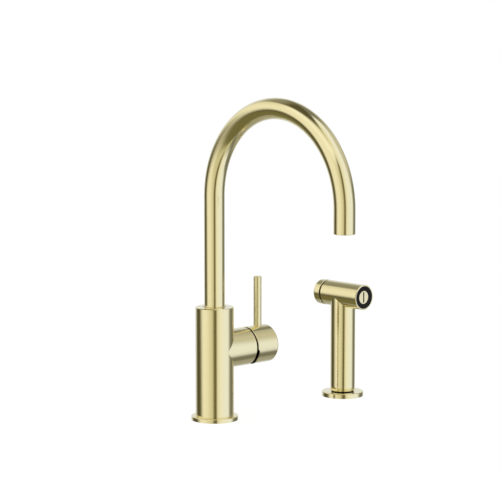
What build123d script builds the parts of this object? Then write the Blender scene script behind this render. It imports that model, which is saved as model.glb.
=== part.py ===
from build123d import *
import os
from math import cos, pi, radians, sin, sqrt, tan

os.makedirs("parts", exist_ok=True)

# Side spray kitchen faucet, in millimetres, +Z up. The origin is on the worktop, on the column's axis.
# The spout points to the front, -Y. The valve with its lever and the side spray are to the right, +X.

# Fits
seat_gap = 0.05          # radial play between pieces that are fixed to one another
running_gap = 0.08       # radial play where a piece turns or slides in its guide
free_gap = 0.3           # between pieces that pass one another without touching
edge_break = 0.4         # small chamfer on machined rims

# Worktop, flanges and the fixings under the worktop
worktop_thickness = 38.0
gasket_width = 4.5
gasket_depth = 1.5
gasket_margin = 3.0      # from a flange's rim in to its gasket
deck_gasket_thickness = 2.5
deck_washer_thickness = 2.0
nut_height = 10.0
tail_run_out = 7.0       # thread that stands out below the nut
thread_pitch = 2.0
thread_depth = 0.6
nut_wall = 7.0           # from the thread to the nut's flats

# Column and base flange
column_radius = 23.3
column_rise = 53.7       # from the valve's axis to the column's top
column_edge = 0.7
flange_radius = 28.6
flange_height = 5.0
flange_edge = 1.0
shank_radius = 16.0
shank_wall = 3.0
shank_engagement = 12.0  # thread inside the column
port_web_gap = 2.0       # from the shank's end to the face with the hose ports

# Hose ports in the column and the waterways above them
port_radius = 4.45       # core of an M10 x 1 thread
port_depth = 14.0
port_circle = 7.0
port_count = 3
waterway_radius = 3.0

# Valve housing, cartridge and lever. Reaches are along +X from the column's axis.
valve_height = 84.2
housing_radius = 23.25
housing_end = 49.0
cartridge_seat = 14.0
cartridge_radius = 17.5
cartridge_length = 27.5
cartridge_wall = 2.0
cartridge_base = 3.0
cartridge_lip = 2.7
cartridge_seal_height = 2.0
cartridge_seal_wall = 1.8
inlet_drop = 6.0         # hot and cold holes below the valve's axis
outlet_rise = 8.6        # mixed water hole above it
disc_radius = 14.0
fixed_disc_thickness = 4.0
moving_disc_radius = 11.5
moving_disc_thickness = 3.5
carrier_radius = 11.8
carrier_thickness = 5.0
carrier_flat = 11.0
mixing_pocket_depth = 1.6
rotor_radius = 15.3
rotor_thickness = 6.7
rotor_neck_radius = 8.8
rotor_neck_end = 48.0
rail_width = 2.4
pivot_reach = 42.0
pivot_pin_radius = 1.5
stem_width = 8.0
stem_end = 66.0
stem_arm_radius = 2.0
stem_ball_radius = 2.8
stem_ball_reach = 29.8
stem_tilt = 15.0         # lever travel, degrees
cartridge_nut_radius = 19.4
cartridge_nut_bore = 10.2
cartridge_nut_length = 5.8
nut_notch_width = 4.0
nut_notch_count = 6
cap_gap = 2.3            # between the housing and the cap's upper rim
cap_radius = 23.25
cap_end = 85.3
cap_edge = 1.8
cap_wall = 2.95
cap_cavity_depth = 7.5
cap_relief = 2.6         # the lower half of the rim is cut back, so that the cap can tilt
cap_relief_start = 1.0
cap_relief_run = 3.5
cap_relief_low = 14.0
rod_reach = 71.0
rod_radius = 4.9
rod_top = 168.4
rod_edge = 0.8
rod_seat_depth = 1.3     # spot face in the cap's crown
rod_stud_radius = 3.0
rod_stud_length = 10.0
grub_screw_reach = 61.5
grub_screw_radius = 2.5
grub_screw_sunk = 1.0
hex_key_size = 2.5
hex_key_depth = 2.5

# Spout
tube_radius = 12.5
tube_wall = 1.5
arch_radius = 109.3
arch_springline = 272.2
spout_drop = 27.2        # straight end of the tube, below the arch
socket_radius = 12.9
socket_depth = 28.0
tube_insertion = 10.0
stem_collar_length = 14.5
stem_spigot_length = 13.0
stem_bore = 8.0
seal_groove_depth = 1.7
seal_groove_width = 2.6
seal_spacing = 3.4
first_seal_lift = 5.0
bush_groove_depth = 1.1
bush_height = 3.0
bush_lift = 0.8
upper_bush_height = 7.6
upper_bush_radius = 14.5
stop_slot_lift = 11.5
stop_slot_height = 2.3
stop_slot_depth = 1.5
stop_screw_radius = 2.0
stop_tip_radius = 1.0
spout_swing = 60.0       # to each side, degrees
stop_play = 7.0          # half the stop tip's own angle and its play, degrees
aerator_recess = 1.0
aerator_length = 11.0
aerator_wall = 1.6
aerator_hole_radius = 0.8
aerator_hole_depth = 3.0
aerator_hole_pitch = 2.6
aerator_rings = 3
aerator_seal_height = 2.0

# Diverter, which turns the water from the spout to the side spray
diverter_offset = 8.0    # to the left of the column's axis
diverter_radius = 6.5
diverter_drop = 5.4      # from the valve's axis down to the diverter's foot
diverter_length = 26.0
diverter_bore = 4.5
diverter_plate = 1.5
diverter_outlet = 3.2
diverter_drain = 2.5
diverter_window = 2.2
diverter_guide_thickness = 3.0
diverter_guide_holes = 4
diverter_guide_hole_radius = 0.7
diverter_guide_hole_circle = 2.9
diverter_rod_radius = 1.4
diverter_poppet_radius = 4.5
diverter_poppet_thickness = 1.6
diverter_travel = 3.0
diverter_spring_length = 6.8
diverter_spring_turns = 4
diverter_spring_wire = 0.3
diverter_spring_radius = 3.4
diverter_seal_lift = 18.5
diverter_seal_depth = 1.1

# Side spray: holder, glide bush, grip and head. The head lies along the front-to-back direction.
spray_distance = 220.6
holder_radius = 26.6
holder_height = 5.9
holder_edge = 1.0
holder_tail_radius = 14.0
holder_bore = 12.2
bush_lip_radius = 14.3
bush_lip_seat = 3.0
bush_lip_proud = 1.2
bush_bore = 10.6
bush_tail = 22.0         # how far the glide bush reaches below the worktop's top
collar_radius = 15.2     # the grip's foot, where it tapers to sit on the bush
collar_height = 5.0
grip_radius = 15.75
grip_wall = 1.75
head_height = 130.6
head_radius = 16.05
head_wall = 1.55
head_front = 37.4
button_back = 38.3
button_length = 10.55
button_travel = 2.0
button_gap = button_travel + free_gap
button_edge = 2.0
hose_port_radius = 6.95  # core of an M15 x 1 thread
hose_port_depth = 10.0
hose_port_low = -12.0
check_valve_radius = 6.9
check_valve_length = 12.0
check_valve_bore = 4.0
check_ledge = 2.0
check_ledge_bore = 5.5
riser_radius = 8.0
riser_wall = 2.5
riser_socket_depth = 12.0
riser_seal_depth = 1.4
riser_entry = 6.8        # how far the riser goes into the valve body
head_opening = 9.5
valve_body_radius = 14.4
valve_body_front = 26.5
valve_body_back = 24.0
front_chamber_radius = 10.5
seat_front = 9.0
seat_thickness = 3.0
seat_bore = 3.6
rear_chamber_radius = 6.2
rear_chamber_back = 6.0
spring_pocket_radius = 6.0
spring_pocket_floor = 14.0
plunger_rod_radius = 2.5
plunger_piston_radius = 4.0
plunger_piston_back = 13.5
plunger_piston_length = 5.0
plunger_nose_radius = 2.0
plunger_tail = 32.0       # how far back the plunger reaches, into the button
plunger_head_radius = 3.0
plunger_head_thickness = 1.0
plunger_seal_depth = 0.9
plunger_seal_width = 1.6
valve_disc_radius = 5.5
valve_disc_thickness = 2.0
button_spring_turns = 5
button_spring_wire = 0.45
button_spring_radius = 4.4
button_boss_radius = 5.4
button_boss_reach = 26.05
button_skin = 3.0
button_rim = 2.5
body_seal_depth = 1.2
body_seal_width = 2.0
body_seal_inset = 4.0
nozzle_seal_thickness = 1.3
nozzle_recess = 0.5
nozzle_face_radius = 8.15
nozzle_face_recess = 0.25
nozzle_slot_width = 2.1
nozzle_slot_depth = 1.0
nozzle_slot_length = 13.4
nozzle_jet_count = 24
nozzle_jet_radius = 0.5
nozzle_jet_depth = 3.0

STANDING = (Align.CENTER, Align.CENTER, Align.MIN)


# Places
def at_column(height):
    return Plane.XY.offset(height)


def at_valve(reach):
    return Plane(origin=(reach, 0, valve_height), x_dir=(0, 1, 0), z_dir=(1, 0, 0))


def at_spray(height):
    return Plane(origin=(spray_distance, 0, height))


def at_head(forward):
    return Plane(origin=(spray_distance, -forward, head_height), x_dir=(1, 0, 0), z_dir=(0, -1, 0))


# Shapes that recur
def rod(plane, radius, length):
    with Locations(plane):
        Cylinder(radius, length, align=STANDING)


def bore(plane, radius, depth):
    with Locations(plane):
        Cylinder(radius, depth, align=STANDING, mode=Mode.SUBTRACT)


def ring(plane, outer, inner, height):
    with BuildPart(plane) as piece:
        Cylinder(outer, height, align=STANDING)
        Cylinder(inner, height, align=STANDING, mode=Mode.SUBTRACT)
    return piece


def turned(plane, outline):
    """A turned piece: the outline, (radius, height) in the plane, spun about the plane's normal."""
    section = Plane(origin=plane.origin, x_dir=plane.x_dir, z_dir=plane.x_dir.cross(plane.z_dir))
    with BuildPart() as piece:
        with BuildSketch(section):
            with BuildLine():
                Polyline(*outline, close=True)
            make_face()
        revolve(axis=Axis(plane.origin, plane.z_dir))
    return piece


def thread_outline(radius, low, high):
    """Points up a threaded rod's side, from low to high, with a V groove for each pitch."""
    points = []
    for turn in range(int((high - low) / thread_pitch)):
        points.append((radius - thread_depth, low + turn * thread_pitch))
        points.append((radius, low + (turn + 0.5) * thread_pitch))
    return points


def seal_rings(planes, bore_radius, groove_radius):
    """O-rings that fill the grooves between a bore and a plug."""
    cord_radius = (bore_radius - groove_radius - running_gap) / 2
    with BuildPart(*planes) as piece:
        Torus((bore_radius + groove_radius) / 2, cord_radius)
    return piece


def coil_spring(plane, mean_radius, wire_radius, length, turns):
    """A spring on the plane, swept along two tangent arcs for each half turn."""
    rise = length - 2 * wire_radius
    slope = rise / (2 * pi * turns)

    def place(angle):
        return Vector(mean_radius * cos(angle), mean_radius * sin(angle), wire_radius + slope * angle)

    def heading(angle):
        return Vector(-mean_radius * sin(angle), mean_radius * cos(angle), slope).normalized()

    def to_world(point):
        return plane.from_local_coords(point)

    with BuildPart() as piece:
        with BuildLine():
            for half_turn in range(2 * turns):
                start, end = place(half_turn * pi), place((half_turn + 1) * pi)
                leave, arrive = heading(half_turn * pi), heading((half_turn + 1) * pi)
                span = end - start
                both = leave + arrive
                spread = 2 * (1 - leave.dot(arrive))
                reach = (sqrt(span.dot(both) ** 2 + spread * span.dot(span)) - span.dot(both)) / spread
                first, second = start + leave * reach, end - arrive * reach
                middle = (first + second) * 0.5
                start_heading = to_world(first) - to_world(start)
                middle_heading = to_world(second) - to_world(first)
                TangentArc(to_world(start), to_world(middle), tangent=start_heading)
                TangentArc(to_world(middle), to_world(end), tangent=middle_heading)
        wire_heading = to_world(place(0) + heading(0)) - to_world(place(0))
        with BuildSketch(Plane(origin=to_world(place(0)), z_dir=wire_heading)):
            Circle(wire_radius)
        sweep()
    return piece


def write(piece, name):
    piece.part.label = name
    export_step(piece.part, f"parts/{name}.step")


# Fixings under the worktop, for the column and for the spray's holder
def flange_gasket(plane, rim_radius):
    outer = rim_radius - gasket_margin
    return ring(plane, outer, outer - gasket_width, gasket_depth - seat_gap)


def groove_outline(rim_radius):
    """Points along a flange's underside, outwards, round the groove for its gasket."""
    outer = rim_radius - gasket_margin
    inner = outer - gasket_width
    return [(inner - seat_gap, 0), (inner - seat_gap, gasket_depth),
            (outer + seat_gap, gasket_depth), (outer + seat_gap, 0)]


def deck_nut(plane, tail_radius):
    with BuildPart(plane) as piece:
        with BuildSketch(plane):
            RegularPolygon(tail_radius + nut_wall, 6, major_radius=False)
        extrude(amount=nut_height)
        chamfer(piece.edges().group_by(Axis.Z)[0], edge_break)
        Cylinder(tail_radius + seat_gap, nut_height, align=STANDING, mode=Mode.SUBTRACT)
    return piece


deck_gasket_low = -worktop_thickness - deck_gasket_thickness
deck_washer_low = deck_gasket_low - deck_washer_thickness
deck_nut_low = deck_washer_low - nut_height
tail_end = deck_nut_low - tail_run_out
tail_fixings = [
    ("", at_column, flange_radius, shank_radius),
    ("holder_", at_spray, holder_radius, holder_tail_radius),
]
for prefix, place, rim_radius, tail_radius in tail_fixings:
    write(flange_gasket(place(0), rim_radius), f"{prefix}base_gasket")
    washer_radius = rim_radius - gasket_margin
    write(ring(place(deck_gasket_low), washer_radius, tail_radius + free_gap, deck_gasket_thickness),
          f"{prefix}deck_gasket")
    write(ring(place(deck_washer_low), washer_radius, tail_radius + free_gap, deck_washer_thickness),
          f"{prefix}deck_washer")
    write(deck_nut(place(deck_nut_low), tail_radius), f"{prefix}mounting_nut")


# Base flange and threaded shank
with BuildPart() as base_flange:
    with BuildSketch(Plane.XZ) as flange_section:
        with BuildLine():
            Polyline((shank_radius + free_gap, 0), *groove_outline(flange_radius), (flange_radius, 0),
                     (flange_radius, flange_height), (shank_radius + free_gap, flange_height), close=True)
        make_face()
        fillet(flange_section.vertices().group_by(Axis.X)[-1].sort_by(Axis.Y)[-1], flange_edge)
    revolve(axis=Axis.Z)
write(base_flange, "base_flange")

shank_bore = shank_radius - shank_wall
shank_top = flange_height + shank_engagement
mounting_shank = turned(
    at_column(0),
    [(shank_bore, tail_end), *thread_outline(shank_radius, tail_end, 0),
     (shank_radius, 0), (shank_radius, shank_top), (shank_bore, shank_top)],
)
write(mounting_shank, "mounting_shank")


# Column with the valve housing, and the waterways through it
column_top = valve_height + column_rise
port_face = shank_top + port_web_gap
diverter_bottom = valve_height - diverter_drop
socket_floor = column_top - socket_depth
diverter_top = diverter_bottom + diverter_length
cartridge_bore = cartridge_radius + running_gap
cartridge_low = cartridge_seat + cartridge_seal_height
cartridge_top = cartridge_low + cartridge_length - cartridge_seal_height
cartridge_nut_low = cartridge_top + seat_gap
inlet_height = valve_height - inlet_drop
outlet_height = valve_height + outlet_rise
stem_low = column_top - tube_insertion - stem_collar_length
stop_height = stem_low + stop_slot_lift + stop_slot_height / 2
port_angles = [180 - 360 / port_count * port for port in range(port_count)]
port_places = [(port_circle * cos(radians(angle)), port_circle * sin(radians(angle)))
               for angle in port_angles]
spray_port, *supply_ports = port_places

with BuildPart() as faucet_body:
    rod(at_column(flange_height), column_radius, column_top - flange_height)
    rod(at_valve(0), housing_radius, housing_end)
    chamfer(faucet_body.edges().filter_by(GeomType.CIRCLE).sort_by(Axis.Z)[-1], column_edge)
    chamfer(faucet_body.edges().filter_by(GeomType.CIRCLE).sort_by(Axis.X)[-1], edge_break)
    bore(at_column(flange_height), shank_radius + seat_gap, port_face - flange_height)
    bore(at_valve(cartridge_seat), cartridge_bore, housing_end - cartridge_seat)
    bore(at_valve(cartridge_top), cartridge_nut_radius + seat_gap, housing_end - cartridge_top)
    bore(at_column(socket_floor), socket_radius, socket_depth)
    bore(at_column(column_top - upper_bush_height - free_gap), upper_bush_radius + seat_gap, socket_depth)
    with Locations(at_column(diverter_bottom)):
        with Locations((-diverter_offset, 0)):
            Cylinder(diverter_radius + seat_gap, socket_floor - diverter_bottom, align=STANDING,
                     mode=Mode.SUBTRACT)
    with Locations(at_column(port_face)):
        with Locations(*port_places):
            Cylinder(port_radius, port_depth, align=STANDING, mode=Mode.SUBTRACT)
        with Locations(spray_port):
            Cylinder(waterway_radius, diverter_bottom - port_face, align=STANDING, mode=Mode.SUBTRACT)
        with Locations(*supply_ports):
            Cylinder(waterway_radius, inlet_height + waterway_radius - port_face, align=STANDING,
                     mode=Mode.SUBTRACT)
    for supply_x, supply_y in supply_ports:
        with Locations(at_valve(supply_x)):
            with Locations((supply_y, -inlet_drop)):
                Cylinder(waterway_radius, cartridge_seat - supply_x, align=STANDING, mode=Mode.SUBTRACT)
    with Locations(at_valve(-diverter_offset)):
        with Locations((0, outlet_rise)):
            Cylinder(waterway_radius, cartridge_seat + diverter_offset, align=STANDING, mode=Mode.SUBTRACT)
    with Locations(Plane(origin=(0, 0, stop_height), z_dir=(0, 1, 0))):
        Cylinder(stop_screw_radius + seat_gap, column_radius, align=STANDING, mode=Mode.SUBTRACT)
write(faucet_body, "faucet_body")


# Cartridge: shell, seals, ceramic discs, carrier, rotor, pivot pin and retaining nut
cartridge_holes = [(supply_y, -inlet_drop) for supply_x, supply_y in supply_ports] + [(0, outlet_rise)]
cartridge_inner = cartridge_radius - cartridge_wall
fixed_disc_low = cartridge_low + cartridge_base + seat_gap
moving_disc_low = fixed_disc_low + fixed_disc_thickness + seat_gap
carrier_low = moving_disc_low + moving_disc_thickness
rotor_low = carrier_low + carrier_thickness + free_gap
rotor_top = rotor_low + rotor_thickness
lip_low = cartridge_top - cartridge_lip

with BuildPart() as cartridge_shell:
    rod(at_valve(cartridge_low), cartridge_radius, cartridge_top - cartridge_low)
    bore(at_valve(cartridge_low + cartridge_base), cartridge_inner, lip_low - cartridge_low - cartridge_base)
    bore(at_valve(lip_low), rotor_neck_radius + free_gap, cartridge_lip)
    with Locations(at_valve(cartridge_low)):
        with Locations(*cartridge_holes):
            Cylinder(waterway_radius, cartridge_base, align=STANDING, mode=Mode.SUBTRACT)
write(cartridge_shell, "cartridge_shell")

with BuildPart() as cartridge_seals:
    with Locations(at_valve(cartridge_seat)):
        with Locations(*cartridge_holes):
            Cylinder(waterway_radius + cartridge_seal_wall, cartridge_seal_height, align=STANDING)
            Cylinder(waterway_radius, cartridge_seal_height, align=STANDING, mode=Mode.SUBTRACT)
write(cartridge_seals, "cartridge_seals")

with BuildPart() as fixed_disc:
    rod(at_valve(fixed_disc_low), disc_radius, fixed_disc_thickness)
    with Locations(at_valve(fixed_disc_low)):
        with Locations(*cartridge_holes):
            Cylinder(waterway_radius, fixed_disc_thickness, align=STANDING, mode=Mode.SUBTRACT)
write(fixed_disc, "fixed_disc")

with BuildPart() as moving_disc:
    rod(at_valve(moving_disc_low), moving_disc_radius, moving_disc_thickness)
    with Locations(at_valve(moving_disc_low)):
        with Locations((0, outlet_rise / 2)):
            Cylinder(waterway_radius, mixing_pocket_depth, align=STANDING, mode=Mode.SUBTRACT)
write(moving_disc, "moving_disc")

with BuildPart() as disc_carrier:
    with BuildSketch(at_valve(carrier_low)):
        Circle(carrier_radius)
        Rectangle(2 * carrier_flat, 2 * carrier_radius, mode=Mode.INTERSECT)
    extrude(amount=carrier_thickness)
    bore(at_valve(carrier_low), stem_ball_radius + free_gap, carrier_thickness)
write(disc_carrier, "disc_carrier")

slot_half_height = stem_width / 2 + (rotor_neck_end - pivot_reach) * sin(radians(stem_tilt)) + free_gap
with BuildPart() as cartridge_rotor:
    rod(at_valve(rotor_low), rotor_radius, rotor_thickness)
    rod(at_valve(rotor_top), rotor_neck_radius, rotor_neck_end - rotor_top)
    with BuildSketch(at_valve(carrier_low)):
        Circle(rotor_radius)
        Rectangle(2 * (carrier_flat + running_gap), 2 * rotor_radius, mode=Mode.SUBTRACT)
        Rectangle(2 * rotor_radius, 2 * rail_width, mode=Mode.INTERSECT)
    extrude(amount=rotor_low - carrier_low)
    with Locations(at_valve(rotor_low)):
        Box(stem_width + 2 * free_gap, 2 * slot_half_height, rotor_neck_end - rotor_low, align=STANDING,
            mode=Mode.SUBTRACT)
    with Locations((pivot_reach, 0, valve_height)):
        Cylinder(pivot_pin_radius + seat_gap, 2 * rotor_neck_radius, rotation=(90, 0, 0), mode=Mode.SUBTRACT)
write(cartridge_rotor, "cartridge_rotor")

with BuildPart() as pivot_pin:
    with Locations((pivot_reach, 0, valve_height)):
        Cylinder(pivot_pin_radius, 2 * (rotor_neck_radius - free_gap), rotation=(90, 0, 0))
write(pivot_pin, "pivot_pin")

with BuildPart() as cartridge_nut:
    rod(at_valve(cartridge_nut_low), cartridge_nut_radius, cartridge_nut_length)
    bore(at_valve(cartridge_nut_low), cartridge_nut_bore, cartridge_nut_length)
    with Locations(at_valve(cartridge_nut_low + cartridge_nut_length / 2)):
        with PolarLocations(cartridge_nut_radius, nut_notch_count):
            Box(nut_notch_width, nut_notch_width, cartridge_nut_length, align=STANDING, mode=Mode.SUBTRACT)
write(cartridge_nut, "cartridge_nut")


# Lever: stem, cap, rod and grub screw
stem_root = pivot_reach - stem_width / 2
with BuildPart() as lever_stem:
    with Locations(at_valve(stem_root)):
        Box(stem_width, stem_width, stem_end - stem_root, align=STANDING)
    rod(at_valve(stem_ball_reach), stem_arm_radius, stem_root - stem_ball_reach)
    with Locations(at_valve(stem_ball_reach)):
        Sphere(stem_ball_radius)
    with Locations((pivot_reach, 0, valve_height)):
        Cylinder(pivot_pin_radius + running_gap, stem_width, rotation=(90, 0, 0), mode=Mode.SUBTRACT)
write(lever_stem, "lever_stem")

cap_start = housing_end + cap_gap
cap_crown = valve_height + cap_radius
cavity_floor = cap_start + cap_cavity_depth
rod_foot = cap_crown - rod_seat_depth
grub_low = valve_height - cap_radius + grub_screw_sunk
cap_relief_foot = (cap_radius + free_gap) * tan(radians(stem_tilt))
with BuildPart() as lever_cap:
    rod(at_valve(cap_start), cap_radius, cap_end - cap_start)
    fillet(lever_cap.edges().filter_by(GeomType.CIRCLE).sort_by(Axis.X)[-1], cap_edge)
    chamfer(lever_cap.edges().filter_by(GeomType.CIRCLE).sort_by(Axis.X)[0], edge_break)
    bore(at_valve(cap_start), cap_radius - cap_wall, cap_cavity_depth)
    with Locations(at_valve(cavity_floor)):
        Box(stem_width + 2 * seat_gap, stem_width + 2 * seat_gap, stem_end + free_gap - cavity_floor,
            align=STANDING, mode=Mode.SUBTRACT)
    with Locations((rod_reach, 0, rod_foot)):
        Cylinder(rod_radius + seat_gap, 2 * rod_seat_depth, align=STANDING, mode=Mode.SUBTRACT)
        Cylinder(rod_stud_radius + seat_gap, rod_stud_length + free_gap,
                 align=(Align.CENTER, Align.CENTER, Align.MAX), mode=Mode.SUBTRACT)
    with Locations((grub_screw_reach, 0, valve_height - cap_radius)):
        Cylinder(grub_screw_radius + seat_gap, cap_radius, align=STANDING, mode=Mode.SUBTRACT)
    with BuildSketch(Plane.XZ):
        with BuildLine():
            Polyline((cap_start - free_gap, valve_height - cap_relief_start),
                     (cap_start, valve_height - cap_relief_start),
                     (cap_start + cap_relief, valve_height - cap_relief_start - cap_relief_run),
                     (cap_start + cap_relief, valve_height - cap_relief_low),
                     (cap_start + cap_relief_foot, valve_height - cap_radius - free_gap),
                     (cap_start - free_gap, valve_height - cap_radius - free_gap), close=True)
        make_face()
    extrude(amount=cap_radius, both=True, mode=Mode.SUBTRACT)
write(lever_cap, "lever_cap")

with BuildPart() as lever_rod:
    with Locations((rod_reach, 0, rod_foot)):
        Cylinder(rod_radius, rod_top - rod_foot, align=STANDING)
    fillet(lever_rod.edges().sort_by(Axis.Z)[-1], rod_edge)
    with Locations((rod_reach, 0, rod_foot)):
        Cylinder(rod_stud_radius, rod_stud_length, align=(Align.CENTER, Align.CENTER, Align.MAX))
write(lever_rod, "lever_rod")

grub_top = valve_height - stem_width / 2 - seat_gap
with BuildPart() as lever_grub_screw:
    with Locations((grub_screw_reach, 0, grub_low)):
        Cylinder(grub_screw_radius, grub_top - grub_low, align=STANDING)
    with BuildSketch(Plane(origin=(grub_screw_reach, 0, grub_low))):
        RegularPolygon(hex_key_size / 2, 6, major_radius=False)
    extrude(amount=hex_key_depth, mode=Mode.SUBTRACT)
write(lever_grub_screw, "lever_grub_screw")


# Spout: bent tube, swivel stem with its seals and bushes, stop screw and aerator
tube_inner = tube_radius - tube_wall
tube_low = column_top - tube_insertion
spout_tip = arch_springline - spout_drop
with BuildPart() as spout_tube:
    with BuildLine():
        Line((0, 0, tube_low), (0, 0, arch_springline))
        ThreePointArc((0, 0, arch_springline), (0, -arch_radius, arch_springline + arch_radius),
                      (0, -2 * arch_radius, arch_springline))
        Line((0, -2 * arch_radius, arch_springline), (0, -2 * arch_radius, spout_tip))
    with BuildSketch(at_column(tube_low)):
        Circle(tube_radius)
        Circle(tube_inner, mode=Mode.SUBTRACT)
    sweep()
    chamfer(spout_tube.edges().filter_by(GeomType.CIRCLE).sort_by(Axis.Y)[:2], edge_break)
write(spout_tube, "spout_tube")

collar_outer = socket_radius - 2 * free_gap
seal_floor = collar_outer - seal_groove_depth
bush_low = stem_low + bush_lift
bush_floor = collar_outer - bush_groove_depth
first_seal_low = stem_low + first_seal_lift
seal_lows = [first_seal_low, first_seal_low + seal_spacing]
swivel_grooves = [(bush_low, bush_height + 2 * seat_gap, bush_floor)]
swivel_grooves += [(seal_low, seal_groove_width, seal_floor) for seal_low in seal_lows]
slot_half_angle = spout_swing + stop_play
with BuildPart() as spout_stem:
    rod(at_column(stem_low), collar_outer, stem_collar_length)
    rod(at_column(tube_low), tube_inner - seat_gap, stem_spigot_length)
    for groove_low, groove_height, groove_floor in swivel_grooves:
        with BuildSketch(at_column(groove_low)):
            Circle(collar_outer)
            Circle(groove_floor, mode=Mode.SUBTRACT)
        extrude(amount=groove_height, mode=Mode.SUBTRACT)
    with BuildSketch(at_column(stop_height - stop_slot_height / 2)):
        with BuildLine():
            slot_arc = CenterArc((0, 0), collar_outer + seat_gap, 90 - slot_half_angle, 2 * slot_half_angle)
            Line(slot_arc @ 1, (0, 0))
            Line((0, 0), slot_arc @ 0)
        make_face()
        Circle(collar_outer - stop_slot_depth, mode=Mode.SUBTRACT)
    extrude(amount=stop_slot_height, mode=Mode.SUBTRACT)
    bore(at_column(stem_low), stem_bore, stem_collar_length + stem_spigot_length)
write(spout_stem, "spout_stem")

seal_planes = [at_column(seal_low + seal_groove_width / 2) for seal_low in seal_lows]
write(seal_rings(seal_planes, socket_radius, seal_floor), "spout_seals")
write(ring(at_column(bush_low + seat_gap), socket_radius - running_gap, bush_floor + seat_gap, bush_height),
      "lower_swivel_bush")
write(ring(at_column(column_top - upper_bush_height - free_gap), upper_bush_radius, tube_radius + running_gap,
           upper_bush_height), "upper_swivel_bush")

stop_tip_end = collar_outer - stop_slot_depth + free_gap
stop_thread_end = socket_radius + free_gap
stop_thread_length = column_radius - grub_screw_sunk - stop_thread_end
with BuildPart() as spout_stop_screw:
    with Locations(Plane(origin=(0, stop_tip_end, stop_height), z_dir=(0, 1, 0))):
        Cylinder(stop_tip_radius, stop_thread_end - stop_tip_end, align=STANDING)
    with Locations(Plane(origin=(0, stop_thread_end, stop_height), z_dir=(0, 1, 0))):
        Cylinder(stop_screw_radius, stop_thread_length, align=STANDING)
    with BuildSketch(Plane(origin=(0, column_radius - grub_screw_sunk, stop_height), z_dir=(0, 1, 0))):
        RegularPolygon(hex_key_size / 2, 6, major_radius=False)
    extrude(amount=-hex_key_depth, mode=Mode.SUBTRACT)
write(spout_stop_screw, "spout_stop_screw")


def at_tip(height):
    return Plane(origin=(0, -2 * arch_radius, height))


aerator_low = spout_tip + aerator_recess
aerator_outer = tube_inner - seat_gap
aerator_inner = aerator_outer - aerator_wall
write(ring(at_tip(aerator_low), aerator_outer, aerator_inner, aerator_length), "aerator_housing")
write(ring(at_tip(aerator_low + aerator_length), aerator_outer, aerator_inner, aerator_seal_height),
      "aerator_seal")
with BuildPart() as aerator_insert:
    rod(at_tip(aerator_low + edge_break), aerator_inner - seat_gap, aerator_length - 2 * edge_break)
    with Locations(at_tip(aerator_low + edge_break)):
        Cylinder(aerator_hole_radius, aerator_hole_depth, align=STANDING, mode=Mode.SUBTRACT)
        for hole_ring in range(1, aerator_rings + 1):
            with PolarLocations(hole_ring * aerator_hole_pitch, 6 * hole_ring):
                Cylinder(aerator_hole_radius, aerator_hole_depth, align=STANDING, mode=Mode.SUBTRACT)
write(aerator_insert, "aerator_insert")


# Diverter
def at_diverter(height):
    return Plane(origin=(-diverter_offset, 0, height))


diverter_seal_floor = diverter_radius - diverter_seal_depth
diverter_seal_low = diverter_bottom + diverter_seal_lift
with BuildPart() as diverter_body:
    rod(at_diverter(diverter_bottom), diverter_radius, diverter_length)
    bore(at_diverter(diverter_bottom), diverter_drain, diverter_plate)
    bore(at_diverter(diverter_bottom + diverter_plate), diverter_bore, diverter_length - 2 * diverter_plate)
    bore(at_diverter(diverter_top - diverter_plate), diverter_outlet, diverter_plate)
    with Locations(Plane(origin=(-diverter_offset, 0, outlet_height), z_dir=(1, 0, 0))):
        Cylinder(diverter_window, diverter_radius, align=STANDING, mode=Mode.SUBTRACT)
    with BuildSketch(at_diverter(diverter_seal_low)):
        Circle(diverter_radius)
        Circle(diverter_seal_floor, mode=Mode.SUBTRACT)
    extrude(amount=body_seal_width, mode=Mode.SUBTRACT)
write(diverter_body, "diverter_body")
write(seal_rings([at_diverter(diverter_seal_low + body_seal_width / 2)], diverter_radius + seat_gap,
                 diverter_seal_floor), "diverter_seal")

diverter_guide_low = diverter_bottom + diverter_plate + diverter_spring_length
diverter_poppet_low = diverter_top + diverter_travel + free_gap
with BuildPart() as diverter_piston:
    rod(at_diverter(diverter_guide_low), diverter_bore - running_gap, diverter_guide_thickness)
    rod(at_diverter(diverter_guide_low), diverter_rod_radius, diverter_poppet_low - diverter_guide_low)
    rod(at_diverter(diverter_poppet_low), diverter_poppet_radius, diverter_poppet_thickness)
    with Locations(at_diverter(diverter_guide_low)):
        with PolarLocations(diverter_guide_hole_circle, diverter_guide_holes):
            Cylinder(diverter_guide_hole_radius, diverter_guide_thickness, align=STANDING, mode=Mode.SUBTRACT)
write(diverter_piston, "diverter_piston")
write(coil_spring(at_diverter(diverter_bottom + diverter_plate + seat_gap), diverter_spring_radius,
                  diverter_spring_wire, diverter_spring_length - 2 * seat_gap, diverter_spring_turns),
      "diverter_spring")


# Holder of the side spray and the bush that the spray stands and turns in
lip_seat_height = holder_height - bush_lip_seat
with BuildPart() as spray_holder:
    with BuildSketch(Plane(origin=(spray_distance, 0, 0), x_dir=(1, 0, 0), z_dir=(0, -1, 0))) as holder_section:
        with BuildLine():
            Polyline((holder_bore, tail_end), *thread_outline(holder_tail_radius, tail_end, 0),
                     (holder_tail_radius, 0), *groove_outline(holder_radius), (holder_radius, 0),
                     (holder_radius, holder_height), (bush_lip_radius + running_gap, holder_height),
                     (bush_lip_radius + running_gap, lip_seat_height), (holder_bore, lip_seat_height),
                     close=True)
        make_face()
        fillet(holder_section.vertices().group_by(Axis.X)[-1].sort_by(Axis.Y)[-1], holder_edge)
    revolve(axis=Axis((spray_distance, 0, 0), (0, 0, 1)))
write(spray_holder, "spray_holder")

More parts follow.
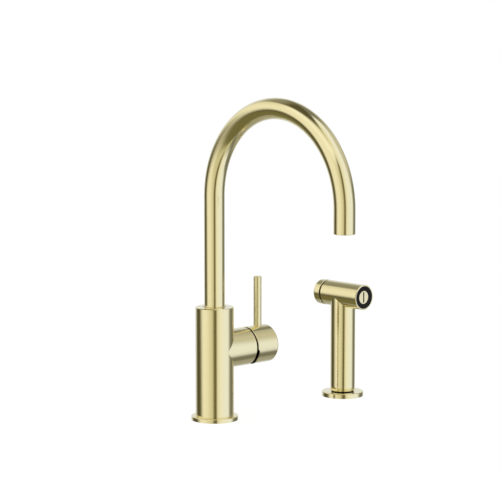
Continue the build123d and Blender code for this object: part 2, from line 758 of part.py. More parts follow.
bush_top = holder_height + bush_lip_proud
glide_bush = turned(
    at_spray(0),
    [(bush_bore, -bush_tail), (holder_bore - running_gap, -bush_tail),
     (holder_bore - running_gap, lip_seat_height + seat_gap), (bush_lip_radius, lip_seat_height + seat_gap),
     (bush_lip_radius, bush_top), (bush_bore, bush_top)],
)
write(glide_bush, "glide_bush")


# Grip of the side spray: foot with the hose port, check valve, riser and outer tube
foot_low = bush_top + running_gap
foot_top = foot_low + collar_height
grip_inner = grip_radius - grip_wall
check_valve_low = hose_port_low + hose_port_depth + check_ledge
check_valve_top = check_valve_low + check_valve_length
riser_low = check_valve_top + check_ledge
foot_spigot_top = riser_low + riser_socket_depth
grip_foot = turned(
    at_spray(0),
    [(hose_port_radius, hose_port_low), (bush_bore - free_gap, hose_port_low),
     (bush_bore - free_gap, foot_low), (collar_radius, foot_low), (grip_radius, foot_top),
     (grip_inner - seat_gap, foot_top), (grip_inner - seat_gap, foot_spigot_top),
     (riser_radius + seat_gap, foot_spigot_top), (riser_radius + seat_gap, riser_low - seat_gap),
     (check_valve_radius + seat_gap, riser_low - seat_gap), (check_valve_radius + seat_gap, check_valve_low),
     (check_ledge_bore, check_valve_low), (check_ledge_bore, check_valve_low - check_ledge),
     (hose_port_radius, check_valve_low - check_ledge)],
)
write(grip_foot, "grip_foot")
write(ring(at_spray(check_valve_low + seat_gap), check_valve_radius, check_valve_bore, check_valve_length),
      "check_valve")

riser_top = head_height - valve_body_radius + riser_entry
riser_seal_floor = riser_radius - riser_seal_depth
riser_seal_lows = [riser_low + body_seal_width, riser_top - 2 * body_seal_width]
with BuildPart() as riser_tube:
    rod(at_spray(riser_low), riser_radius, riser_top - riser_low)
    for groove_low in riser_seal_lows:
        with BuildSketch(at_spray(groove_low)):
            Circle(riser_radius)
            Circle(riser_seal_floor, mode=Mode.SUBTRACT)
        extrude(amount=body_seal_width, mode=Mode.SUBTRACT)
    bore(at_spray(riser_low), riser_radius - riser_wall, riser_top - riser_low)
write(riser_tube, "riser_tube")
riser_seal_planes = [at_spray(groove_low + body_seal_width / 2) for groove_low in riser_seal_lows]
write(seal_rings(riser_seal_planes, riser_radius + seat_gap, riser_seal_floor), "riser_seals")

head_back = button_back - button_length - button_gap
with BuildPart() as spray_grip:
    rod(at_spray(foot_top), grip_radius, head_height - foot_top)
    bore(at_spray(foot_top), grip_inner, head_height - foot_top)
    bore(at_head(-head_back), head_radius + seat_gap, head_back + head_front)
write(spray_grip, "spray_grip")


# Head of the side spray: shell, valve body and seals
head_inner = head_radius - head_wall
with BuildPart() as spray_head:
    rod(at_head(-head_back), head_radius, head_back + head_front)
    chamfer(spray_head.edges().filter_by(GeomType.CIRCLE), edge_break)
    bore(at_head(-head_back), head_inner, head_back + head_front)
    with Locations(at_spray(head_height - head_radius - free_gap)):
        Cylinder(head_opening, head_radius, align=STANDING, mode=Mode.SUBTRACT)
write(spray_head, "spray_head")

valve_body_low = head_height - valve_body_radius
body_seal_floor = valve_body_radius - body_seal_depth
body_seal_backs = [-valve_body_back + body_seal_inset,
                   valve_body_front - body_seal_inset - body_seal_width]
guide_bore_radius = plunger_piston_radius + running_gap
with BuildPart() as spray_valve_body:
    rod(at_head(-valve_body_back), valve_body_radius, valve_body_back + valve_body_front)
    for groove_back in body_seal_backs:
        with BuildSketch(at_head(groove_back)):
            Circle(valve_body_radius)
            Circle(body_seal_floor, mode=Mode.SUBTRACT)
        extrude(amount=body_seal_width, mode=Mode.SUBTRACT)
    bore(at_head(seat_front), front_chamber_radius, valve_body_front - seat_front)
    bore(at_head(seat_front - seat_thickness), seat_bore, seat_thickness)
    bore(at_head(-rear_chamber_back), rear_chamber_radius, rear_chamber_back + seat_front - seat_thickness)
    bore(at_head(-spring_pocket_floor), guide_bore_radius, spring_pocket_floor)
    bore(at_head(-valve_body_back), spring_pocket_radius, valve_body_back - spring_pocket_floor)
    bore(at_spray(valve_body_low - free_gap), riser_radius + seat_gap, riser_top - valve_body_low + 2 * free_gap)
    bore(at_spray(valve_body_low), riser_radius - riser_wall, valve_body_radius)
write(spray_valve_body, "spray_valve_body")
body_seal_planes = [at_head(groove_back + body_seal_width / 2) for groove_back in body_seal_backs]
write(seal_rings(body_seal_planes, head_inner, body_seal_floor), "valve_body_seals")


# Nozzle: seal, black ring with its jets, and the slotted face
nozzle_back = valve_body_front + nozzle_seal_thickness
nozzle_outer = head_inner - seat_gap
jet_circle = (nozzle_outer + nozzle_face_radius) / 2
write(ring(at_head(valve_body_front), valve_body_radius, front_chamber_radius, nozzle_seal_thickness),
      "nozzle_seal")
with BuildPart() as nozzle_ring:
    rod(at_head(nozzle_back), nozzle_outer, head_front - nozzle_recess - nozzle_back)
    bore(at_head(nozzle_back), nozzle_face_radius + seat_gap, head_front - nozzle_back)
    with Locations(at_head(head_front - nozzle_recess - nozzle_jet_depth)):
        with PolarLocations(jet_circle, nozzle_jet_count):
            Cylinder(nozzle_jet_radius, nozzle_jet_depth, align=STANDING, mode=Mode.SUBTRACT)
write(nozzle_ring, "nozzle_ring")

nozzle_face_front = head_front - nozzle_recess - nozzle_face_recess
with BuildPart() as nozzle_face:
    rod(at_head(nozzle_back), nozzle_face_radius, nozzle_face_front - nozzle_back)
    with Locations(at_head(nozzle_face_front)):
        Box(nozzle_slot_width, nozzle_slot_length, 2 * nozzle_slot_depth, mode=Mode.SUBTRACT)
write(nozzle_face, "nozzle_face")


# Button: cap, plunger with its seal, valve disc and return spring
button_front = button_back - button_length
with BuildPart() as spray_button:
    rod(at_head(-button_back), head_radius, button_length)
    fillet(spray_button.edges().filter_by(GeomType.CIRCLE).sort_by(Axis.Y)[-1], button_edge)
    chamfer(spray_button.edges().filter_by(GeomType.CIRCLE).sort_by(Axis.Y)[0], edge_break)
    bore(at_head(-button_back + button_skin), head_radius - button_rim, button_length)
    rod(at_head(-button_back + button_skin), button_boss_radius, button_back - button_skin - button_boss_reach)
    bore(at_head(-plunger_tail - seat_gap), plunger_rod_radius + seat_gap, plunger_tail)
write(spray_button, "spray_button")

plunger_seal_floor = plunger_piston_radius - plunger_seal_depth
plunger_seal_back = -plunger_piston_back + (plunger_piston_length - plunger_seal_width) / 2
plunger_piston_front = -plunger_piston_back + plunger_piston_length
valve_disc_back = seat_front + running_gap
valve_disc_front = valve_disc_back + valve_disc_thickness
with BuildPart() as valve_plunger:
    rod(at_head(-plunger_tail), plunger_rod_radius, plunger_tail - plunger_piston_back)
    rod(at_head(-plunger_piston_back), plunger_piston_radius, plunger_piston_length)
    rod(at_head(plunger_piston_front), plunger_nose_radius, valve_disc_front - plunger_piston_front)
    rod(at_head(valve_disc_front + seat_gap), plunger_head_radius, plunger_head_thickness)
    rod(at_head(valve_disc_front), plunger_nose_radius, plunger_head_thickness)
    with BuildSketch(at_head(plunger_seal_back)):
        Circle(plunger_piston_radius)
        Circle(plunger_seal_floor, mode=Mode.SUBTRACT)
    extrude(amount=plunger_seal_width, mode=Mode.SUBTRACT)
write(valve_plunger, "valve_plunger")
write(seal_rings([at_head(plunger_seal_back + plunger_seal_width / 2)], guide_bore_radius, plunger_seal_floor),
      "plunger_seal")
write(ring(at_head(valve_disc_back), valve_disc_radius, plunger_nose_radius + seat_gap, valve_disc_thickness),
      "valve_disc")
write(coil_spring(at_head(-button_boss_reach + seat_gap), button_spring_radius, button_spring_wire,
                  button_boss_reach - spring_pocket_floor - 2 * seat_gap, button_spring_turns),
      "button_spring")
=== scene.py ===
import math

import bmesh
import bpy
from mathutils import Matrix, Vector


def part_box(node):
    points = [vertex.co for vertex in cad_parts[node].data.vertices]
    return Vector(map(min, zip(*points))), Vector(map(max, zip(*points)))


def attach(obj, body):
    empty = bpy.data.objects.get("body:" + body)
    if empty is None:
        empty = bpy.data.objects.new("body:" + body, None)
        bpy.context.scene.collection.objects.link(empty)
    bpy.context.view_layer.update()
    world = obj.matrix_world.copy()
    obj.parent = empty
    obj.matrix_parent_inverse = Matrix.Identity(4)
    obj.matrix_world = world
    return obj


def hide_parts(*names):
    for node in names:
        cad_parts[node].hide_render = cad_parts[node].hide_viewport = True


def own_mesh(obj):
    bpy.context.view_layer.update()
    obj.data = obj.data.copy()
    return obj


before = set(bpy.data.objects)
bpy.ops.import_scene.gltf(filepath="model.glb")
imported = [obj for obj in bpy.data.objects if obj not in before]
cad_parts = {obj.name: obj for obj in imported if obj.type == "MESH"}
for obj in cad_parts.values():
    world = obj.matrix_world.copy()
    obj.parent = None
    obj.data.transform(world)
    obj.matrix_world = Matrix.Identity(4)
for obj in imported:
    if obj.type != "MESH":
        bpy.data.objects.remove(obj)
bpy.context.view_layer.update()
MM = 0.001
UP = Vector((0, 0, 1))

# The places that the finishes turn about, in metres
COLUMN = Vector((0, 0, 0))
VALVE = Vector((0, 0, 84.2)) * MM
LEVER_ROD = Vector((71.0, 0, 0)) * MM
SPRAY = Vector((220.6, 0, 0)) * MM
SPRAY_HEAD = Vector((220.6, 0, 130.6)) * MM
SPOUT_TIP = Vector((0, -218.6, 0)) * MM
ARCH_CENTRE = Vector((0, -109.3, 272.2)) * MM

# Where the finishes and the painted shade end, in millimetres from those places
ARCH_RADIUS = 109.3
COLUMN_RADIUS = 23.3
HOUSING_END = 49.0          # along +X
CAP_RADIUS = 23.25
CAP_HOLLOW = (78.0, 79.0)   # along +X, where the hollow behind the cap's rim ends
SLOT_HALF = (1.05, 6.7)     # the slot in the nozzle's face, across and along
NOZZLE_FRONT = -36.65       # along Y


# Shader maths, written as expressions
class Number:
    """A number that varies over a surface: the output of a shader node."""

    def __init__(self, shader, socket):
        self.shader, self.socket = shader, socket

    def math(self, operation, *others):
        inputs = {0: self, **dict(enumerate(others, 1))}
        made = self.shader.node("ShaderNodeMath", {"operation": operation}, inputs)
        return Number(self.shader, made.outputs[0])

    def __add__(self, other):
        return self.math("ADD", other)

    def __sub__(self, other):
        return self.math("SUBTRACT", other)

    def __rsub__(self, other):
        return -self + other

    def __mul__(self, other):
        return self.math("MULTIPLY", other)

    def __truediv__(self, other):
        return self.math("DIVIDE", other)

    def __pow__(self, other):
        return self.math("POWER", other)

    def __neg__(self):
        return self * -1.0

    def __abs__(self):
        return self.math("ABSOLUTE")

    __radd__, __rmul__ = __add__, __mul__

    def at_least(self, low):
        return self.math("MAXIMUM", low)

    def at_most(self, high):
        return self.math("MINIMUM", high)

    def rise(self, start, end):
        """Goes smoothly from 0 at start to 1 at end."""
        ends = {"Value": self, "From Min": start, "From Max": end}
        made = self.shader.node("ShaderNodeMapRange", {"interpolation_type": "SMOOTHSTEP"}, ends)
        return Number(self.shader, made.outputs[0])

    def fall(self, start, end):
        """Goes smoothly from 1 at start to 0 at end."""
        return 1.0 - self.rise(start, end)

    def within(self, low, high, soft):
        """1 from low to high and 0 outside, with edges that are soft wide."""
        edge = soft / 2
        return self.rise(low - edge, low + edge) * self.fall(high - edge, high + edge)


class Shader:
    """The nodes of one material or of the world."""

    def __init__(self, owner):
        owner.use_nodes = True
        self.tree = owner.node_tree
        self.tree.nodes.clear()

    def feed(self, socket, value):
        """Links a socket to what varies, or sets it to what doesn't."""
        if isinstance(value, Number):
            value = value.socket
        if isinstance(value, bpy.types.NodeSocket):
            self.tree.links.new(value, socket)
        else:
            socket.default_value = value

    def node(self, kind, settings=(), values=()):
        made = self.tree.nodes.new(kind)
        for name, setting in dict(settings).items():
            setattr(made, name, setting)
        for name, value in dict(values).items():
            self.feed(made.inputs[name], value)
        return made

    def split(self, vector):
        parts = self.node("ShaderNodeSeparateXYZ", {}, {0: vector})
        return [Number(self, part) for part in parts.outputs]

    def vector(self, x, y, z):
        return self.node("ShaderNodeCombineXYZ", {}, {0: x, 1: y, 2: z}).outputs[0]

    def noise(self, vector, scale, detail=2.0, roughness=0.5):
        values = {"Vector": vector, "Scale": scale, "Detail": detail, "Roughness": roughness}
        made = self.node("ShaderNodeTexNoise", {}, values)
        return Number(self, made.outputs["Fac"])

    def colour(self, share, low, high):
        """Goes from one colour, at share 0, to another, at 1."""
        made = self.node("ShaderNodeMix", {"data_type": "RGBA"})
        sockets = {socket.name: socket for socket in made.inputs if socket.enabled}
        for name, value in (("Factor", share), ("A", low), ("B", high)):
            if isinstance(value, tuple):
                value = (*value, 1.0)
            self.feed(sockets[name], value)
        return [socket for socket in made.outputs if socket.enabled][0]

    def place(self, centre):
        """Object coordinates about a centre, in millimetres."""
        here = self.node("ShaderNodeTexCoord").outputs["Object"]
        moved = {"Vector": here, "Location": tuple(-c / MM for c in centre), "Scale": (1 / MM,) * 3}
        return self.node("ShaderNodeMapping", {}, moved).outputs[0]

    def bump(self, height, distance):
        return self.node("ShaderNodeBump", {}, {"Height": height, "Distance": distance}).outputs[0]

    def surface(self, **values):
        """The shader itself, with its sockets named in lower case with underscores."""
        sockets = {}
        for name, value in values.items():
            sockets[name.replace("_", " ").title().replace("Ior", "IOR")] = value
        made = self.node("ShaderNodeBsdfPrincipled", {}, sockets)
        self.node("ShaderNodeOutputMaterial", {}, {"Surface": made.outputs[0]})


def material(name):
    made = bpy.data.materials.new(name)
    return made, Shader(made)


# Finishes
GOLD, GOLD_DEEP = (0.87, 0.79, 0.50), (0.84, 0.755, 0.455)
# Painted shade: a near-black colour that stands for the shade in the recesses, gaps and slot of the
# gold pieces
PAINTED_SHADE = (0.035, 0.028, 0.018)
BRASS, BRASS_DARK = (0.66, 0.50, 0.22), (0.50, 0.36, 0.14)
STEEL, STEEL_DARK = (0.62, 0.61, 0.59), (0.48, 0.47, 0.46)
GOLD_ROUGHNESS, ROD_ROUGHNESS = 0.10, 0.24
BRASS_ROUGHNESS, OUTLET_ROUGHNESS = 0.30, 0.25
STEEL_ROUGHNESS, HEAD_ROUGHNESS, STEM_ROUGHNESS = 0.28, 0.25, 0.30
GOLD_PITCH, LATHE_PITCH = 0.22, 0.3     # from line to line, in millimetres
LINES_ROUND = 3.0                       # how soon a line changes on its way round
LINE_NOISE = (1.0, 4.0, 0.6)            # scale, detail and roughness
SLOW_NOISE = (0.06, 3.0)                # scale and detail


def from_axis(across, beside):
    return (across * across + beside * beside) ** 0.5


def brushing(shader, here, line, across, beside, reach):
    """Lines round a piece, line being the count along it: (height, slow variation)."""
    turn = shader.vector(line, across / reach * LINES_ROUND, beside / reach * LINES_ROUND)
    return shader.noise(turn, *LINE_NOISE), shader.noise(here, *SLOW_NOISE)


def turned_lines(shader, axis, centre, pitch=GOLD_PITCH):
    """Fine lines round an axis, as a belt or a lathe leaves them."""
    here = shader.place(centre)
    x, y, z = shader.split(here)
    along, across, beside = {"X": (x, y, z), "Y": (y, z, x), "Z": (z, x, y)}[axis]
    reach = from_axis(across, beside)
    return brushing(shader, here, (along + reach) / pitch, across, beside, reach)


def gold_surface(shader, lines, slow, shaded_recess=0.0, roughness=GOLD_ROUGHNESS):
    """Brushed plating. Where the recess mask is 1, the colour is painted shade, near black, and the
    metal is duller.
    """
    plated = shader.colour(lines * 0.5 + slow * 0.5, GOLD_DEEP, GOLD)
    shader.surface(
        base_color=shader.colour(shaded_recess, plated, PAINTED_SHADE),
        metallic=1.0,
        roughness=roughness + lines * 0.06 + slow * 0.03 + shaded_recess * 0.4,
        normal=shader.bump(lines, 0.004 * MM),
    )


def brushed_gold(name, axis, centre, roughness=GOLD_ROUGHNESS):
    made, shader = material(name)
    gold_surface(shader, *turned_lines(shader, axis, centre), roughness=roughness)
    return made


def arch_gold(name):
    """The brushing of a bent tube: lines round it, all the way along its bend."""
    made, shader = material(name)
    here = shader.place(ARCH_CENTRE)
    x, y, z = shader.split(here)
    above = z.rise(-0.01, 0.01)     # 1 on the bend and 0 on the two straight runs
    front = (-y).rise(-1.0, 1.0)    # 1 on the outlet's side and 0 on the column's
    bent = (math.pi - z.math("ARCTAN2", -y)) * ARCH_RADIUS
    straight = z * (1.0 - front * 2.0) + front * (math.pi * ARCH_RADIUS)
    path = above * bent + (1.0 - above) * straight
    out = above * (from_axis(y, z) - ARCH_RADIUS) + (1.0 - above) * (abs(y) - ARCH_RADIUS)
    reach = from_axis(out, x)
    gold_surface(shader, *brushing(shader, here, path / GOLD_PITCH, out, x, reach))
    return made


def body_gold(name):
    """The column and the valve housing are one piece, each with its lines round its own axis."""
    made, shader = material(name)
    column_lines, slow = turned_lines(shader, "Z", COLUMN)
    housing_lines, _ = turned_lines(shader, "X", VALVE)
    x, y, _ = shader.split(shader.place(COLUMN))
    on_housing = from_axis(x, y).rise(COLUMN_RADIUS + 0.02, COLUMN_RADIUS + 0.06)
    lines = column_lines * (1.0 - on_housing) + housing_lines * on_housing
    # Painted shade: the housing's end face, in the groove before the cap, is near black and duller
    gold_surface(shader, lines, slow, x.rise(HOUSING_END - 0.3, HOUSING_END - 0.1))
    return made


def cap_gold(name):
    """The lever's cap: plated outside, with painted shade, near black, in the hollow behind its
    rim, which is also duller.
    """
    made, shader = material(name)
    lines, slow = turned_lines(shader, "X", VALVE)
    x, y, z = shader.split(shader.place(VALVE))
    within_rim = from_axis(y, z).fall(CAP_RADIUS - 0.5, CAP_RADIUS - 0.3)
    gold_surface(shader, lines, slow, within_rim * x.fall(*CAP_HOLLOW))
    return made


def nozzle_gold(name):
    """The nozzle's face, with painted shade, near black, in its slot, which is also duller."""
    made, shader = material(name)
    lines, slow = turned_lines(shader, "Y", SPRAY_HEAD)
    x, y, z = shader.split(shader.place(SPRAY_HEAD))
    across, along = SLOT_HALF
    slot = abs(x).fall(across + 0.02, across + 0.04) * abs(z).fall(along + 0.02, along + 0.04)
    behind_face = y.rise(NOZZLE_FRONT + 0.01, NOZZLE_FRONT + 0.05)
    gold_surface(shader, lines, slow, slot * behind_face)
    return made


def moulded(name, dark, light, roughness, grain=0.5, depth=0.01, gloss=0.5):
    """Plastic or rubber: a fine moulded grain and a little unevenness of colour and gloss."""
    made, shader = material(name)
    here = shader.place(Vector())
    fine = shader.noise(here, 1 / grain, 3.0)
    slow = shader.noise(here, 0.08, 2.0)
    shader.surface(
        base_color=shader.colour(slow * 0.6 + fine * 0.4, dark, light),
        roughness=roughness - 0.06 + slow * 0.08 + fine * 0.06,
        specular_ior_level=gloss,
        normal=shader.bump(fine, depth * MM),
    )
    return made


def machined(name, axis, centre, dark, light, roughness):
    """Bare metal straight from the lathe."""
    made, shader = material(name)
    lines, slow = turned_lines(shader, axis, centre, LATHE_PITCH)
    shader.surface(
        base_color=shader.colour(slow * 0.7 + lines * 0.3, dark, light),
        metallic=1.0,
        roughness=roughness - 0.05 + lines * 0.1 + slow * 0.06,
        normal=shader.bump(lines, 0.006 * MM),
    )
    return made


def brass(name, axis, centre, roughness=BRASS_ROUGHNESS):
    return machined(name, axis, centre, BRASS_DARK, BRASS, roughness)


def steel(name, axis, centre, roughness=STEEL_ROUGHNESS):
    return machined(name, axis, centre, STEEL_DARK, STEEL, roughness)


def finish(made, *nodes):
    for node in nodes:
        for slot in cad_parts[node].material_slots:
            slot.material = made


finish(body_gold("brushed_gold_body"), "faucet_body")
finish(brushed_gold("brushed_gold_column", "Z", COLUMN), "base_flange")
finish(cap_gold("brushed_gold_cap"), "lever_cap")
finish(brushed_gold("brushed_gold_lever", "Z", LEVER_ROD, ROD_ROUGHNESS), "lever_rod")
finish(arch_gold("brushed_gold_spout"), "spout_tube")
finish(brushed_gold("brushed_gold_spray", "Z", SPRAY), "spray_holder", "grip_foot", "spray_grip")
finish(brushed_gold("brushed_gold_head", "Y", SPRAY_HEAD), "spray_head", "spray_button")
finish(nozzle_gold("brushed_gold_nozzle"), "nozzle_face")

finish(brass("turned_brass_column", "Z", COLUMN), "mounting_shank", "mounting_nut", "spout_stem")
finish(brass("turned_brass_spray", "Z", SPRAY), "holder_mounting_nut")
finish(brass("turned_brass_valve", "X", VALVE), "cartridge_nut")
finish(brass("turned_brass_outlet", "Z", SPOUT_TIP, OUTLET_ROUGHNESS), "aerator_housing")

column_steel = steel("bright_steel_column", "Z", COLUMN)
head_steel = steel("bright_steel_head", "Y", SPRAY_HEAD, HEAD_ROUGHNESS)
finish(column_steel, "deck_washer", "lever_grub_screw")
finish(head_steel, "valve_plunger", "pivot_pin", "spout_stop_screw")
finish(steel("bright_steel_spray", "Z", SPRAY), "holder_deck_washer")
finish(steel("bright_steel_stem", "X", VALVE, STEM_ROUGHNESS), "lever_stem")

finish(moulded("seal_rubber", (0.012, 0.012, 0.013), (0.028, 0.027, 0.026), 0.6),
       "base_gasket", "deck_gasket", "holder_base_gasket", "holder_deck_gasket",
       "cartridge_seals", "spout_seals", "aerator_seal", "diverter_seal", "riser_seals",
       "valve_body_seals", "nozzle_seal", "plunger_seal", "valve_disc")
finish(moulded("black_plastic", (0.004, 0.0035, 0.003), (0.009, 0.008, 0.006), 0.45,
               grain=0.3, depth=0.006, gloss=0.2),
       "nozzle_ring", "glide_bush")
finish(moulded("white_acetal", (0.74, 0.74, 0.70), (0.84, 0.84, 0.81), 0.38),
       "cartridge_rotor", "disc_carrier", "upper_swivel_bush", "lower_swivel_bush",
       "riser_tube", "check_valve", "aerator_insert", "diverter_piston")
finish(moulded("grey_plastic", (0.10, 0.105, 0.11), (0.15, 0.155, 0.16), 0.45),
       "cartridge_shell", "diverter_body", "spray_valve_body")
finish(moulded("lapped_ceramic", (0.82, 0.81, 0.77), (0.90, 0.89, 0.86), 0.18,
               grain=0.2, depth=0.001),
       "fixed_disc", "moving_disc")


def new_object(name, mesh, made):
    data = bpy.data.meshes.new(name)
    mesh.to_mesh(data)
    mesh.free()
    data.materials.append(made)
    piece = bpy.data.objects.new(name, data)
    bpy.context.collection.objects.link(piece)
    return piece


# Springs. The frame's own ones are rigid, so these stand for them.
COIL_STEPS = 32          # for each turn
WIRE_SIDES = 12
DIVERTER_WIRE, DIVERTER_TURNS = 0.3 * MM, 4     # the wire's radius
BUTTON_WIRE, BUTTON_TURNS = 0.45 * MM, 5
UPWARDS = Matrix.Identity(3)
TO_THE_FRONT = Matrix.Rotation(math.pi / 2, 3, "X")     # turns +Z to -Y


def coil(mean_radius, wire, length, turns):
    """A round wire wound about the third axis from the origin, spun from its lower end."""
    mesh = bmesh.new()
    pitch = (length - 2 * wire) / turns
    lean = math.atan2(pitch, 2 * math.pi * mean_radius)
    start = Matrix.Translation((mean_radius, 0, wire))
    start = start @ Matrix.Rotation(lean - math.pi / 2, 4, "X")
    bmesh.ops.create_circle(mesh, segments=WIRE_SIDES, radius=wire, matrix=start)
    bmesh.ops.spin(mesh, geom=mesh.verts[:] + mesh.edges[:], cent=(0, 0, 0), axis=UP,
                   dvec=UP * (pitch / COIL_STEPS), angle=2 * math.pi * turns,
                   steps=turns * COIL_STEPS)
    bmesh.ops.holes_fill(mesh, edges=mesh.edges[:], sides=WIRE_SIDES)
    bmesh.ops.recalc_face_normals(mesh, faces=mesh.faces[:])
    for face in mesh.faces:
        face.smooth = len(face.verts) == 4
    return mesh


def spring(name, node, body, heading, wire, turns, made):
    """Stands for a node that fills its box, wound along heading."""
    low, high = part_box(node)
    axis = heading @ UP
    length = abs((high - low).dot(axis))
    place = Matrix.Translation((low + high - axis * length) / 2) @ heading.to_4x4()
    mesh = coil((high.x - low.x) / 2 - wire, wire, length, turns)
    bmesh.ops.transform(mesh, matrix=place, verts=mesh.verts[:])
    piece = new_object(name, mesh, made)
    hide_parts(node)
    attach(piece, body)
    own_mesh(piece)


spring("diverter_coil", "diverter_spring", "root", UPWARDS,
       DIVERTER_WIRE, DIVERTER_TURNS, column_steel)
spring("button_coil", "button_spring", "spray", TO_THE_FRONT,
       BUTTON_WIRE, BUTTON_TURNS, head_steel)


# Camera
SENSOR = 36.0
LENS = 154.4
CAMERA_PLACE = Vector((-1710.9, -1899.9, 532.4)) * MM
CAMERA_AHEAD = Vector((0.6815, 0.7318, 0)).normalized()
CAMERA_DOWN = math.radians(7.26)

camera = bpy.data.objects.new("camera", bpy.data.cameras.new("camera"))
bpy.context.collection.objects.link(camera)
camera.data.lens = LENS
camera.data.sensor_width = SENSOR
camera.location = CAMERA_PLACE
look = CAMERA_AHEAD * math.cos(CAMERA_DOWN) - UP * math.sin(CAMERA_DOWN)
camera.rotation_euler = look.to_track_quat("-Z", "Y").to_euler()
bpy.context.scene.camera = camera


# Floor: the worktop's plain top, with the two holes that the tails go through
FLOOR_RADIUS = 6.0
FLOOR_DROP = 0.05 * MM     # keeps the floor clear of the flanges' lower faces
COLUMN_HOLE, SPRAY_HOLE = 17.5 * MM, 15.0 * MM
ROUND_STEPS = 64
FLOOR_GLOW, GLOW_SHARE = 1.06, 0.86
FLOOR_TONE, WHITE = (0.9, 0.9, 0.9, 1.0), (1, 1, 1, 1)


def worktop(made):
    mesh = bmesh.new()
    for radius, centre in ((FLOOR_RADIUS, COLUMN), (COLUMN_HOLE, COLUMN), (SPRAY_HOLE, SPRAY)):
        place = Matrix.Translation(centre - UP * FLOOR_DROP)
        bmesh.ops.create_circle(mesh, segments=ROUND_STEPS, radius=radius, matrix=place)
    bmesh.ops.triangle_fill(mesh, use_beauty=True, edges=mesh.edges[:], normal=UP)
    return new_object("worktop", mesh, made)


def seen_directly(shader):
    """1 for the camera and for what metal or glass shows, 0 for the light that falls on things."""
    path = shader.node("ShaderNodeLightPath").outputs
    camera_ray, glossy_ray, through_glass = (
        Number(shader, path[name])
        for name in ("Is Camera Ray", "Is Glossy Ray", "Is Transmission Ray"))
    return camera_ray.at_least(glossy_ray).at_least(through_glass)


def mixed(shader, share, first, second):
    """Shows the first surface or light at share 0 and the second at 1."""
    values = {0: share, 1: first.outputs[0], 2: second.outputs[0]}
    return shader.node("ShaderNodeMixShader", {}, values)


white, shader = material("white_worktop")
plain = shader.node("ShaderNodeBsdfDiffuse", {}, {"Color": FLOOR_TONE})
glow = shader.node("ShaderNodeEmission", {}, {"Color": WHITE, "Strength": FLOOR_GLOW})
both = mixed(shader, seen_directly(shader) * GLOW_SHARE, plain, glow)
shader.node("ShaderNodeOutputMaterial", {}, {"Surface": both.outputs[0]})
floor = worktop(white)
floor.visible_glossy = False


# Light: a white studio. Metal mirrors its panels: a large one on each side, with a dark gap
# between them where the camera stands, dark flags beside them, and the white backdrop behind.
DEGREES = 180 / math.pi
LIGHT_STRENGTH = 0.85    # of what falls on things
DARK_LEFT, DARK_LOW = (0.10, 0.09, 0.045), (0.19, 0.175, 0.08)
DARK_RIGHT, DARK_HIGH = (0.21, 0.21, 0.18), (0.30, 0.29, 0.23)
BOUNCE = (0.40, 0.40, 0.36)
BACKDROP = (0.84, 0.87, 0.93)
GAP = (0.15, 0.13, 0.055)
PANEL, PANEL_INNER, PANEL_LOW = (0.99, 0.98, 0.89), (0.75, 0.73, 0.55), (0.70, 0.68, 0.50)
PANEL_HIGH, PANEL_OUTER = (1.08, 1.09, 1.04), (0.89, 0.87, 0.75)
RIGHT_PANEL, RIGHT_PANEL_INNER = (0.99, 1.0, 0.99), (0.88, 0.86, 0.73)
RIGHT_PANEL_FAR, RIGHT_PANEL_HIGH = (0.97, 1.02, 1.14), (0.64, 0.63, 0.56)

world = bpy.data.worlds.new("studio")
bpy.context.scene.world = world
shader = Shader(world)

# Directions, in degrees: turn from where the camera stands to the picture's right, behind from
# straight behind the object to the picture's left, and height over the horizon
dx, dy, dz = shader.split(shader.node("ShaderNodeTexCoord").outputs["Generated"])
towards = dx * -CAMERA_AHEAD.x + dy * -CAMERA_AHEAD.y
aside = dx * CAMERA_AHEAD.y + dy * -CAMERA_AHEAD.x
turn = aside.math("ARCTAN2", towards) * DEGREES
behind = (-aside).math("ARCTAN2", -towards) * DEGREES
height = dz.math("ARCSINE") * DEGREES

# The dark studio, with the light that the floor sends back, and the backdrop
shown = shader.colour(height.rise(-10, -26), DARK_LEFT, DARK_LOW)
shown = shader.colour(turn.rise(20, 70), shown, DARK_RIGHT)
shown = shader.colour(behind.within(8, 62, 16) * height.within(34, 58, 12), shown, DARK_HIGH)
shown = shader.colour(behind.within(-61, 61, 14) * height.fall(-45, -35), shown, BOUNCE)
back = behind.rise(-50, -14) * behind.fall(27, 60) * height.rise(-50, -24) * height.fall(20, 46)
shown = shader.colour(back, shown, BACKDROP)

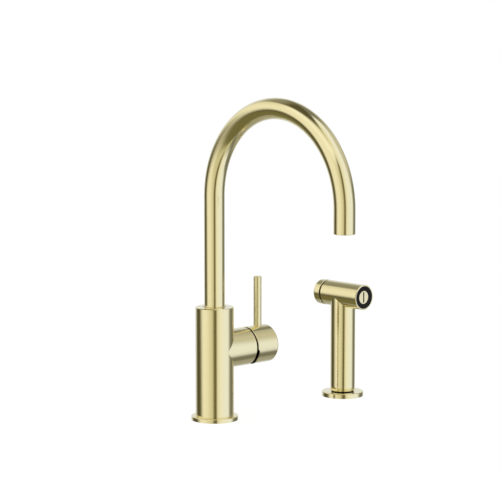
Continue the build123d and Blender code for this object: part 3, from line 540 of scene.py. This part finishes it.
# The left panel
left_low = (height + turn.at_least(-113.0) * 0.72 + 71.2).rise(-11, 11)
left_top = (height - turn * 0.2 - 72.6).fall(-10, 10)
left_outer = (turn - (height - 34.0).at_least(0.0) * 2.5).rise(-157, -129)
left_tone = shader.colour(turn.rise(-52, -12), PANEL, PANEL_INNER)
high_tone = shader.colour(turn.rise(-104, -84), PANEL_OUTER, PANEL_HIGH)
left_tone = shader.colour(height.within(30, 52, 14), left_tone, high_tone)
left_tone = shader.colour(turn.rise(-68, -50) * height.fall(-30, -8), left_tone, PANEL_LOW)
left_panel = left_low * left_top * left_outer * turn.fall(20, 60)
shown = shader.colour(left_panel, shown, left_tone)

# The gap between the panels
gap = turn.rise(-15, 2) * height.fall(30, 50) * height.rise(-70, -40)
shown = shader.colour(gap * turn.fall(30, 60), shown, GAP)

# The right panel, and the paler one beyond it
raised = (height - 44.0).at_least(0.0)
sunk = (-height - 25.0).at_least(0.0).at_most(12.0)
right_outer = (turn - raised * 1.6 + sunk).fall(84, 112)
right_inner = (turn + raised * 0.8).rise(9, 18)
right_tone = shader.colour(turn.rise(18, 38), RIGHT_PANEL_INNER, RIGHT_PANEL)
right_tone = shader.colour(turn.rise(25, 75), right_tone, RIGHT_PANEL_FAR)
shown = shader.colour(right_inner * right_outer * height.rise(-75, -50), shown, right_tone)
far_panel = turn.within(90, 143, 16) * height.within(14, 52, 22)
shown = shader.colour(far_panel, shown, RIGHT_PANEL_HIGH)

lit = shader.node("ShaderNodeBackground", {}, {"Color": WHITE, "Strength": LIGHT_STRENGTH})
backdrop = shader.node("ShaderNodeBackground", {}, {"Color": WHITE, "Strength": 1.0})
mirrored = shader.node("ShaderNodeBackground", {}, {"Color": shown, "Strength": 1.0})
in_a_mirror = shader.node("ShaderNodeLightPath").outputs["Is Glossy Ray"]
both = mixed(shader, seen_directly(shader), lit, backdrop)
both = mixed(shader, in_a_mirror, both, mirrored)
shader.node("ShaderNodeOutputWorld", {}, {"Surface": both.outputs[0]})

bpy.context.scene.view_settings.view_transform = "Standard"
